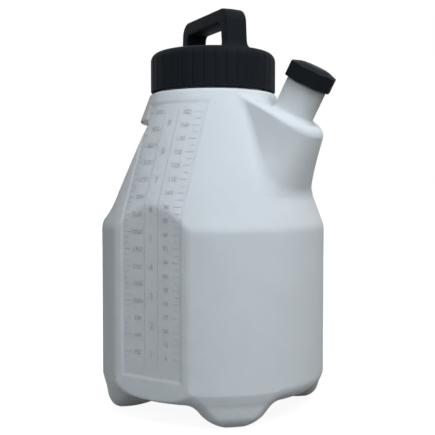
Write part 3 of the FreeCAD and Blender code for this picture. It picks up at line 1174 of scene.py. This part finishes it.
@dataclass
class GraduationMarks:
    """Raised ticks, guide lines and plain numbers on the sunken strip. Millimetres."""

    bottle: BlownBottle
    relief: float = 0.16
    sink: float = 0.2
    first_z: float = 50.0
    last_z: float = 286.0
    head_room: float = 2.0
    line_places: tuple[float, float] = (-7.0, 8.0)
    line_width: float = 0.9
    tick_height: float = 1.0
    edge_width: float = 0.35
    digit_size: float = 5.6
    middle_digit_size: float = 8.0
    digit_extrude: float = 0.25
    digit_bevel: float = 0.12
    digit_offset: float = -0.02
    digit_resolution: int = 3
    middle_x: float = 0.5
    middle_start: float = 14.0
    middle_pitch: float = 26.0
    middle_head_room: float = 6.0
    bar_step: float = 4.0
    bar_points_per_step: int = 4
    bar_rows: tuple[float, ...] = (-0.5, -0.32, 0.0, 0.32, 0.5)
    start_inside: float = 12.0
    ray_inwards: float = 30.0
    ray_outwards: float = 40.0
    sharp_angle: float = 25.0
    scales: tuple[Scale, ...] = (
        Scale(
            edge_x=-31.0,
            inwards=1,
            start=4.0,
            pitch=5.2,
            long_every=3,
            long_width=9.0,
            short_width=6.0,
            number_x=-15.0,
            number_step=250,
        ),
        Scale(
            edge_x=31.0,
            inwards=-1,
            start=6.0,
            pitch=6.1,
            long_every=2,
            long_width=8.0,
            short_width=5.5,
            number_x=16.5,
            number_step=8,
        ),
    )

    def lay(self, across: Array, up: Array, depth: Array) -> Array:
        """Lay flat points on the strip: straight in towards the axis plane, then out by the depth.

        Args:
            across: Places along X.
            up: Places along Z.
            depth: Height above the strip's surface.

        Returns:
            Points in the frame's axes.
        """
        bottle = self.bottle
        front = self.start_inside - np.minimum(bottle.cone_radius(up), bottle.flat_apothem)
        starts = np.stack([across, front, up], axis=-1)
        ways = np.broadcast_to([0.0, -1.0, 0.0], starts.shape)
        on_strip = bottle.cast(starts, ways, 0.0, self.ray_inwards, self.ray_outwards)
        return on_strip + bottle.normals(on_strip) * depth[..., None]

    def bar(self, centre: tuple[float, float], size: tuple[float, float]) -> tuple[Array, Faces]:
        """Rounded bar: a grid of points, five across, that rises between its four edges.

        Args:
            centre: Middle of the bar, along X and Z.
            size: Its size along X and Z.

        Returns:
            The bar's points and faces.
        """
        steps = max(2, int(max(size) / self.bar_step))
        long_way = np.linspace(-0.5, 0.5, steps * self.bar_points_per_step + 1)
        short_way = np.array(self.bar_rows)
        if size[0] > size[1]:
            across, up = np.meshgrid(long_way, short_way)
        else:
            across, up = np.meshgrid(short_way, long_way)
        edge = np.minimum((0.5 - np.abs(across)) * size[0], (0.5 - np.abs(up)) * size[1])
        depth = (self.relief + self.sink) * smooth_step(edge / self.edge_width) - self.sink
        points = self.lay(centre[0] + across * size[0], centre[1] + up * size[1], depth)
        return points.reshape(-1, 3), open_grid(*across.shape)

    def number(self, text: str, centre: tuple[float, float], size: float) -> tuple[Array, Faces]:
        """Digits as raised plates with bevelled edges, laid on the strip.

        Args:
            text: The digits.
            centre: Their middle, along X and Z.
            size: Their size.

        Returns:
            The digits' points and faces.
        """
        curve = bpy.data.curves.new("digits", "FONT")
        curve.body = text
        curve.size = size
        curve.extrude = self.digit_extrude
        curve.bevel_depth = self.digit_bevel
        curve.offset = self.digit_offset
        curve.resolution_u = self.digit_resolution
        curve.align_x = "CENTER"
        curve.align_y = "CENTER"
        source = put_in_scene("digits", curve)
        graph = bpy.context.evaluated_depsgraph_get()
        mesh = bpy.data.meshes.new_from_object(source.evaluated_get(graph))
        flat = np.empty(len(mesh.vertices) * 3)
        mesh.vertices.foreach_get("co", flat)
        flat = flat.reshape(-1, 3)
        faces = [tuple(face.vertices) for face in mesh.polygons]
        bpy.data.objects.remove(source)
        bpy.data.curves.remove(curve)
        bpy.data.meshes.remove(mesh)
        half = self.digit_extrude + self.digit_bevel
        depth = (flat[:, 2] + half) / (2 * half) * (self.relief + self.sink) - self.sink
        return self.lay(centre[0] + flat[:, 0], centre[1] + flat[:, 1], depth), faces

    def scale_marks(self, scale: Scale) -> list[tuple[Array, Faces]]:
        """Ticks and numbers of one scale.

        Args:
            scale: The scale.

        Returns:
            Points and faces of each mark.
        """
        marks = []
        heights = np.arange(self.first_z + scale.start, self.last_z - self.head_room, scale.pitch)
        for index, height in enumerate(heights):
            count, place = divmod(index, scale.long_every)
            is_long = place == scale.long_every - 1
            width = scale.long_width if is_long else scale.short_width
            middle_x = scale.edge_x + scale.inwards * width / 2
            marks.append(self.bar((middle_x, height), (width, self.tick_height)))
            if is_long:
                text = str(scale.number_step * (count + 1))
                marks.append(self.number(text, (scale.number_x, height), self.digit_size))
        return marks

    def build(self) -> bpy.types.Object:
        """Make all marks as one piece: two guide lines, a scale at each side and a middle column.

        Returns:
            The marks.
        """
        middle = (self.first_z + self.last_z) / 2
        length = self.last_z - self.first_z
        marks = [self.bar((place, middle), (self.line_width, length)) for place in self.line_places]
        for scale in self.scales:
            marks += self.scale_marks(scale)
        start, end = self.first_z + self.middle_start, self.last_z - self.middle_head_room
        for index, height in enumerate(np.arange(start, end, self.middle_pitch)):
            place = (self.middle_x, height)
            marks.append(self.number(str(index + 1), place, self.middle_digit_size))
        points = np.concatenate([mark[0] for mark in marks])
        offset = 0
        faces = []
        for places, own_faces in marks:
            faces += [tuple(corner + offset for corner in face) for face in own_faces]
            offset += len(places)
        finish = self.bottle.finish
        piece = add_piece("graduation_marks", points, faces, Body.BOTTLE, finish)
        piece.data.set_sharp_from_angle(angle=math.radians(self.sharp_angle))
        return piece


# Lid and spout cap


@dataclass
class ScrewLid:
    """Wide lid with its ribbed skirt, inner thread and strap handle. Millimetres, degrees."""

    finish: bpy.types.Material
    top_thickness: float = 3.5
    top_edge_r: float = 8.5
    rim_r: float = 0.8
    pole_r: float = 2.0
    rib_count: int = 36
    rib_depth: float = 1.1
    rib_fade: float = 6.0
    rib_power: int = 10
    rib_foot: float = 0.4
    rib_head_share: float = 0.15
    columns_per_rib: int = 16
    plain_band: float = 2.2
    bore_r: float = 56.8
    bore_start: float = 1.2
    corner_gap: float = 0.8
    ceiling_corner: float = 0.4
    thread_start: float = 6.0
    thread_end: float = 5.0
    thread_depth: float = 1.9
    thread_lead: float = 9.0
    thread_width: float = 4.0
    handle_turn: float = -30.0
    handle_length: float = 103.0
    handle_top_length: float = 97.5
    handle_rise: float = 37.2
    handle_width: float = 22.0
    handle_post: float = 12.5
    handle_bar: float = 13.5
    handle_corner_r: float = 13.5
    handle_hole_corner_r: float = 5.5
    handle_edge_r: float = 2.4
    handle_sunk: float = 1.5
    handle_crown: float = 0.5
    root_flare: float = 1.6
    handle_counts: tuple[int, int, int] = (16, 12, 14)
    handle_columns: int = 40
    radius: float = field(init=False)
    bottom_z: float = field(init=False)
    top_z: float = field(init=False)

    def __post_init__(self) -> None:
        """Take the lid's radius and its heights from the frame."""
        low, high = node_corners("lid")
        self.radius = high[0]
        self.bottom_z = low[2]
        self.top_z = high[2] - self.handle_rise

    def rib_dip(self, angle: Array) -> Array:
        """How far the skirt is sunk at an angle: broad ribs with a narrow groove between them.

        Across each rib the dip grows with the tenth power of the way from its middle.

        Args:
            angle: Angles about the lid's axis.

        Returns:
            Depth below the ribs.
        """
        across = angle / TURN * self.rib_count
        from_middle = 2 * np.abs(across - np.round(across))
        return self.rib_depth * from_middle**self.rib_power

    def build_cover(self) -> bpy.types.Object:
        """Make the cover: top, rounded edge, ribbed skirt, rim, threaded bore and ceiling.

        Returns:
            The cover, which stands for the CAD lid.
        """
        edge, radius, low, top = self.top_edge_r, self.radius, self.bottom_z, self.top_z
        rim, bore, gap, corner = self.rim_r, self.bore_r, self.corner_gap, self.ceiling_corner
        band_z = low + self.plain_band + rim
        ceiling = top - self.top_thickness
        outside = np.concatenate([
            line_points((self.pole_r, top), (radius - edge, top), 14),
            arc_points((radius - edge, top - edge), edge, 90, 0, 16),
            line_points((radius, top - edge - gap), (radius, band_z), 18),
            line_points((radius, band_z), (radius, low + rim), 6),
            arc_points((radius - rim, low + rim), rim, 0, -90, 5),
        ])
        inside = np.concatenate([
            arc_points((bore + rim, low + rim), rim, -90, -180, 5),
            line_points((bore, low + self.bore_start), (bore, ceiling - gap), 76),
            line_points((bore - corner, ceiling - corner / 2), (self.pole_r, ceiling), 8),
        ])
        section = np.concatenate([outside, inside])[::-1]
        angle = np.linspace(0, TURN, self.rib_count * self.columns_per_rib, endpoint=False)
        plain_r, height = section[:, :1], section[:, 1:]
        is_outside = (np.arange(len(section)) >= len(inside))[:, None]
        above_band = smooth_step((height - low - self.rib_foot) / self.plain_band)
        below_edge = smooth_step((top - edge * self.rib_head_share - height) / self.rib_fade)
        dip = np.where(is_outside, self.rib_dip(angle) * above_band * below_edge, 0)
        first, last = low + self.thread_start, ceiling - self.thread_end
        bead = thread_bead(height, angle, self.thread_lead, first, last, self.thread_width)
        lift = np.where(is_outside, 0, bead * self.thread_depth)
        rows = turned(plain_r - dip - lift, height, angle)
        points = np.concatenate([[[0, 0, ceiling]], rows.reshape(-1, 3), [[0, 0, top]]])
        faces = closed_grid(len(rows), len(angle))
        cover = add_piece("lid_cover", points, faces, Body.LID, self.finish)
        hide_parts("lid")
        return cover

    @staticmethod
    def bridge(
        length: float,
        top_length: float,
        height: float,
        corner: float,
        foot: float,
        counts: tuple[int, int, int],
    ) -> Array:
        """Outline of a bridge: up a post, round a corner, along the bar, round and down again.

        Args:
            length: Length between the posts at the lid.
            top_length: Length at the top.
            height: Height of the outline.
            corner: Radius of both corners.
            foot: How far the posts go on below the lid.
            counts: Points in the post, the corner and half the bar.

        Returns:
            Points as (along, up), the left half and its mirror image.
        """
        post_count, corner_count, bar_count = counts
        lean = (length - top_length) / 2 / height
        angle = math.atan(lean)
        post_foot = np.array([-length / 2 - foot * lean, -foot])
        setback = corner * math.tan((math.pi / 2 - angle) / 2)
        corner_point = np.array([-top_length / 2, height])
        up = np.array([math.sin(angle), math.cos(angle)])
        start = corner_point - up * setback
        end = corner_point + np.array([setback, 0])
        centre = end - np.array([0, corner])
        sweep = np.linspace(math.pi - angle, math.pi / 2, corner_count)[:, None]
        arc = centre + corner * np.concatenate([np.cos(sweep), np.sin(sweep)], axis=1)
        post = post_foot + (start - post_foot) * (np.arange(post_count) / post_count)[:, None]
        bar = end + (np.array([0, height]) - end) * (np.arange(1, bar_count + 1) / bar_count)[:, None]
        left = np.concatenate([post, arc, bar])
        right = left[-2::-1] * np.array([-1, 1])
        return np.concatenate([left, right])

    def build_handle(self) -> bpy.types.Object:
        """Make the handle: a rounded-rectangle section carried along the bridge, flared at its feet.

        At each station the section spans from the outline of the hole to the outer outline, and its
        corners follow an arc. Near the lid the section widens by a curve that dies out with height.
        The outer face is crowned: it falls off with the square of the way to its sides, more the
        higher it is.

        Returns:
            The handle.
        """
        counts, sunk, rise = self.handle_counts, self.handle_sunk, self.handle_rise
        length, top_length = self.handle_length, self.handle_top_length
        outer = self.bridge(length, top_length, rise, self.handle_corner_r, sunk, counts)
        posts = 2 * self.handle_post
        hole_rise, hole_r = rise - self.handle_bar, self.handle_hole_corner_r
        inner = self.bridge(length - posts, top_length - posts, hole_rise, hole_r, sunk, counts)
        middle = (outer + inner) / 2
        thick = np.linalg.norm(outer - inner, axis=1)
        out = (outer - inner) / thick[:, None]
        flare = self.root_flare * np.exp(-np.maximum(middle[:, 1], 0) / self.root_flare)
        half_thick = (thick / 2 + flare)[:, None]
        half_width = (self.handle_width / 2 + flare)[:, None]
        turn = np.linspace(0, TURN, self.handle_columns, endpoint=False)
        edge = self.handle_edge_r
        in_out = np.sign(np.cos(turn)) * (half_thick - edge) + edge * np.cos(turn)
        sideways = np.sign(np.sin(turn)) * (half_width - edge) + edge * np.sin(turn)
        crown = self.handle_crown * (middle[:, 1:] / rise) * (in_out > 0)
        reach = in_out - crown * (sideways / half_width) ** 2
        flat = middle[:, None, :] + out[:, None, :] * reach[..., None]
        spin = math.radians(self.handle_turn)
        along, up = flat[..., 0], flat[..., 1]
        x = along * math.cos(spin) - sideways * math.sin(spin)
        y = along * math.sin(spin) + sideways * math.cos(spin)
        rows = np.stack([x, y, self.top_z + up], axis=-1)
        ends = rows[[0, -1]].mean(axis=1)
        points = np.concatenate([ends[:1], rows.reshape(-1, 3), ends[1:]])
        faces = [face[::-1] for face in closed_grid(len(rows), len(turn))]
        return add_piece("carrying_handle", points, faces, Body.LID, self.finish)

    def build(self) -> list[bpy.types.Object]:
        """Make the cover and its handle."""
        return [self.build_cover(), self.build_handle()]


@dataclass
class SpoutCap:
    """Eight-sided screw cap of the spout with its bevelled crown and inner thread. Millimetres."""

    finish: bpy.types.Material
    bottle: BlownBottle
    across_flats: float = 43.6
    sides: int = 8
    height: float = 17.4
    top_thickness: float = 3.0
    corner_r: float = 5.0
    top_flat_r: float = 13.0
    bevel_drop: float = 3.6
    bevel_ease: float = 2.5
    edge_r: float = 0.7
    bore_r: float = 19.35
    bore_chamfer: float = 0.6
    bore_start: float = 1.2
    chamfer_heights: Triple = (0.0, 0.25, 0.7)
    ceiling_shares: tuple[float, float] = (0.9, 0.1)
    thread_start: float = 2.2
    thread_end: float = 2.4
    pole_share: float = 0.08
    bend_start: float = 75.0
    fall_start: float = 0.06
    foot_start: float = -20.0
    columns_per_side: int = 24
    thread_depth: float = 0.55
    thread_width: float = 2.2

    def outline(self, angle: Array) -> Array:
        """Radius of the rounded octagon at an angle.

        On a flat it is the apothem over the cosine of the way from the flat's middle. Near a corner
        it is where the ray meets the corner's arc.

        Args:
            angle: Angles about the cap's axis.

        Returns:
            Radius of the outline at each angle.
        """
        apothem, step = self.across_flats / 2, TURN / self.sides
        from_corner = (angle / step - np.round(angle / step)) * step
        from_flat = step / 2 - np.abs(from_corner)
        centre = (apothem - self.corner_r) / math.cos(step / 2)
        reach = np.maximum(self.corner_r**2 - (centre * np.sin(from_corner)) ** 2, 0)
        arc = centre * np.cos(from_corner) + np.sqrt(reach)
        tangent = math.atan((apothem - self.corner_r) * math.tan(step / 2) / apothem)
        return np.where(from_flat > tangent, arc, apothem / np.cos(from_flat))

    def crown(self, radius: Array) -> Array:
        """Height of the crown: flat in the middle, then falling on an eased slope to the corners.

        Args:
            radius: Distances from the cap's axis.

        Returns:
            Height at each distance.
        """
        corner = self.across_flats / 2 / math.cos(math.pi / self.sides)
        slope = self.bevel_drop / (corner - self.top_flat_r)
        past = radius - self.top_flat_r
        ease = self.bevel_ease
        eased = np.where(past < ease, (past + ease) ** 2 / (4 * ease), past)
        return self.height - slope * np.where(past < -ease, 0, eased)

    def outside(self, angle: Array) -> tuple[Array, Array]:
        """Rows from the crown's middle over its bevel and an arc, down the flats and round the rim.

        Args:
            angle: Angles of the columns.

        Returns:
            Radii and heights of the rows.
        """
        out = self.outline(angle)[None, :]
        edge = self.edge_r
        brink = self.crown(out - edge)
        top_r = np.linspace(self.pole_share, 1, 16)[:, None] * (out - edge)
        bend = np.radians(np.linspace(self.bend_start, 0, 5))[:, None]
        fall = np.linspace(self.fall_start, 1, 12)[:, None]
        foot = np.radians(np.linspace(self.foot_start, -90, 5))[:, None]
        bend_r = out - edge + edge * np.cos(bend)
        foot_r = out - edge + edge * np.cos(foot)
        bend_h = brink - edge + edge * np.sin(bend)
        side_h = (brink - edge) * (1 - fall) + edge * fall
        foot_h = edge + edge * np.sin(foot) + 0 * angle
        radii = np.concatenate([top_r, bend_r, out + 0 * fall, foot_r])
        heights = np.concatenate([self.crown(top_r), bend_h, side_h, foot_h])
        return radii, heights

    def inside(self, angle: Array) -> tuple[Array, Array]:
        """Rows up the chamfered bore with its thread and in along the ceiling.

        Args:
            angle: Angles of the columns.

        Returns:
            Radii and heights of the rows.
        """
        flat = 0 * angle
        ceiling = self.height - self.top_thickness
        threaded = np.linspace(self.bore_start, ceiling, 44)
        bore_h = np.concatenate([self.chamfer_heights, threaded])[:, None]
        lead, high = self.bottle.spout_thread_lead, ceiling - self.thread_end
        bead = thread_bead(bore_h, angle, lead, self.thread_start, high, self.thread_width)
        bore_r = self.bore_r + np.maximum(self.bore_chamfer - bore_h, 0) - bead * self.thread_depth
        share = np.linspace(*self.ceiling_shares, 6)[:, None]
        radii = np.concatenate([bore_r, self.bore_r * share + flat])
        heights = np.concatenate([bore_h + flat, ceiling + 0 * share + flat])
        return radii, heights

    def build(self) -> list[bpy.types.Object]:
        """Make the cap from its outer and inner rows, about the spout's axis.

        Returns:
            The cap, which stands for the CAD spout cap.
        """
        angle = np.linspace(0, TURN, self.sides * self.columns_per_side, endpoint=False)
        outer_r, outer_h = self.outside(angle)
        inner_r, inner_h = self.inside(angle)
        base = self.bottle.spout_length
        radii = np.concatenate([outer_r, inner_r])[::-1]
        heights = np.concatenate([outer_h, inner_h])[::-1] + base
        rows = self.bottle.spout_frame(radii, heights, angle)
        poles = base + np.array([self.height - self.top_thickness, self.height])
        ends = self.bottle.spout_frame(np.zeros(2), poles, np.zeros(2))
        points = np.concatenate([ends[:1], rows.reshape(-1, 3), ends[1:]])
        faces = closed_grid(len(rows), len(angle))
        cap = add_piece("spout_cap_shell", points, faces, Body.CAP, self.finish)
        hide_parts("spout_cap")
        return [cap]


# Room, light and camera


@dataclass(frozen=True)
class Lamp:
    """Square area lamp that looks at the middle of the object. Metres, watts."""

    name: str
    place: Triple
    size: float
    power: float
    tone: Triple
    aim_height: float = 0.19

    def hang(self) -> None:
        """Put the lamp in the scene."""
        data = bpy.data.lights.new(self.name, "AREA")
        data.size = self.size
        data.energy = self.power
        data.color = self.tone
        lamp = put_in_scene(self.name, data)
        lamp.location = self.place
        way = Vector((0, 0, self.aim_height)) - Vector(self.place)
        lamp.rotation_euler = way.to_track_quat("-Z", "Y").to_euler()


@dataclass
class Studio:
    """Pale floor, soft lamps and the camera. Metres, degrees.

    The key lamp hangs high at the right, a broad lamp stands at the front and one behind.
    """

    floor_size: float = 30.0
    floor_points: int = 5
    white_from: float = 0.3
    white_at: float = 1.4
    near_white: float = 0.92
    sky_from: float = -0.6
    floor_roughness: float = 0.9
    floor_mottle: tuple[float, float] = (3.0, 2.0)
    distance: float = 0.7708
    azimuth: float = 33.535
    eye_height: float = 0.216
    pitch: float = 2.45
    pan: float = 0.328
    lens: float = 64.01
    sensor_width: float = 36.0
    bright_way: Triple = (0.5, -0.6, 0.62)
    dim_sky: Tone = (0.115, 0.08, 0.035, 1.0)
    bright_sky: Tone = (0.19, 0.22, 0.235, 1.0)
    floor_tone: Tone = (0.17, 0.165, 0.155, 1.0)
    pale_floor_tone: Tone = (0.185, 0.18, 0.17, 1.0)
    black: Tone = (0.0, 0.0, 0.0, 1.0)
    white: Tone = (1.0, 1.0, 1.0, 1.0)
    lamps: tuple[Lamp, ...] = (
        Lamp("key_light", (1.02, -0.48, 1.52), 0.8, 22.0, (0.82, 0.9, 1.0)),
        Lamp("front_light", (0.25, -1.9, 1.1), 1.2, 7.5, (0.72, 0.84, 1.0)),
        Lamp("back_light", (-1.05, 1.585, 0.75), 0.9, 14.0, (0.92, 0.97, 1.0)),
    )

    def camera(self) -> None:
        """Place the camera: around the axis by the azimuth, tipped down by the pitch, panned right."""
        turn, tip, pan = (math.radians(value) for value in (self.azimuth, self.pitch, self.pan))
        place = Vector((self.distance * math.sin(turn), -self.distance * math.cos(turn), self.eye_height))
        level = Vector((-math.sin(turn - pan), math.cos(turn - pan), 0))
        look = level * math.cos(tip) - Vector((0, 0, math.sin(tip)))
        data = bpy.data.cameras.new("camera")
        data.sensor_width = self.sensor_width
        data.lens = self.lens
        data.clip_start = 0.01
        camera = put_in_scene("camera", data)
        camera.location = place
        camera.rotation_euler = look.to_track_quat("-Z", "Y").to_euler()
        bpy.context.scene.camera = camera

    def world(self) -> None:
        """Surroundings that are cool and bright towards the key lamp, dim and warm away from it.

        Where they are seen directly they are plain white.
        """
        world = bpy.data.worlds.new("studio")
        world.use_nodes = True
        world.node_tree.nodes.clear()
        graph = Graph(world.node_tree)
        way = graph.add("ShaderNodeTexCoord").outputs["Generated"]
        along = graph.add("ShaderNodeVectorMath", {0: way, 1: self.bright_way}, operation="DOT_PRODUCT")
        share = graph.add("ShaderNodeMapRange", {"Value": along.outputs["Value"], "From Min": self.sky_from})
        tone = graph.mix(share.outputs["Result"], self.dim_sky, self.bright_sky)
        seen = backdrop_share(graph)
        ambient = graph.add("ShaderNodeBackground", {"Color": tone, "Strength": 1.0})
        white = graph.add("ShaderNodeBackground", {"Color": self.white, "Strength": 1.0})
        both = graph.add("ShaderNodeMixShader", {0: seen, 1: ambient.outputs[0], 2: white.outputs[0]})
        graph.add("ShaderNodeOutputWorld", {"Surface": both.outputs[0]})
        bpy.context.scene.world = world

    def floor(self) -> None:
        """Pale floor that keeps the object's shadow and turns white further out."""
        material, graph, surface = start_material("studio_floor")
        place = graph.add("ShaderNodeTexCoord").outputs["Object"]
        away = graph.add("ShaderNodeVectorMath", {0: place}, operation="LENGTH").outputs["Value"]
        reach = {"From Min": self.white_from, "From Max": self.white_at, "To Min": self.near_white}
        white = graph.add("ShaderNodeMapRange", {"Value": away} | reach).outputs["Result"]
        glow = graph.math("MULTIPLY", backdrop_share(graph), white)
        mottle = graph.noise(place, *self.floor_mottle)
        looks = {
            "Base Color": graph.mix(mottle, self.floor_tone, self.pale_floor_tone),
            "Roughness": self.floor_roughness,
            "Emission Strength": 1.0,
            "Emission Color": graph.mix(glow, self.black, self.white),
        }
        graph.feed(surface, looks)
        side = np.linspace(-self.floor_size / 2, self.floor_size / 2, self.floor_points)
        x, y = np.meshgrid(side, side)
        points = np.stack([x, y, 0 * x], axis=-1).reshape(-1, 3)
        mesh = bpy.data.meshes.new("studio_floor")
        mesh.from_pydata(points.tolist(), [], open_grid(self.floor_points, self.floor_points))
        mesh.materials.append(material)
        floor = put_in_scene("studio_floor", mesh)

    def build(self) -> None:
        """Set up the room."""
        bpy.context.scene.view_settings.view_transform = "Standard"
        self.camera()
        for lamp in self.lamps:
            lamp.hang()
        self.world()
        self.floor()


def dress_seals(group: bpy.types.NodeTree) -> None:
    """Give the two packed seals their finishes.

    Args:
        group: The moulded skin group.
    """
    rubber = SealMaterial(
        slot=Slot.RUBBER,
        tone=(0.018, 0.018, 0.019, 1.0),
        pale_tone=(0.034, 0.034, 0.035, 1.0),
        grain=0.0007,
        roughness=0.62,
    )
    foam = SealMaterial(
        slot=Slot.FOAM,
        tone=(0.66, 0.66, 0.63, 1.0),
        pale_tone=(0.78, 0.78, 0.76, 1.0),
        grain=0.0005,
        roughness=0.8,
    )
    for node, seal in (("lid_gasket", rubber), ("spout_cap_liner", foam)):
        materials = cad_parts[node].data.materials
        materials.clear()
        materials.append(seal.build(group))


def main() -> None:
    """Build the finishes, the pieces and the room, in that order."""
    logging.basicConfig(level=logging.INFO, format="%(name)s: %(message)s")
    skin = MouldedSkin().build()
    natural = NaturalPolyethylene().build(skin)
    black = BlackPlastic().build(skin)
    bottle = BlownBottle(natural)
    pieces = bottle.build() + ScrewLid(black).build() + SpoutCap(black, bottle).build()
    for piece in pieces:
        report(piece)
    dress_seals(skin)
    Studio().build()


if __name__ == "__main__":
    main()
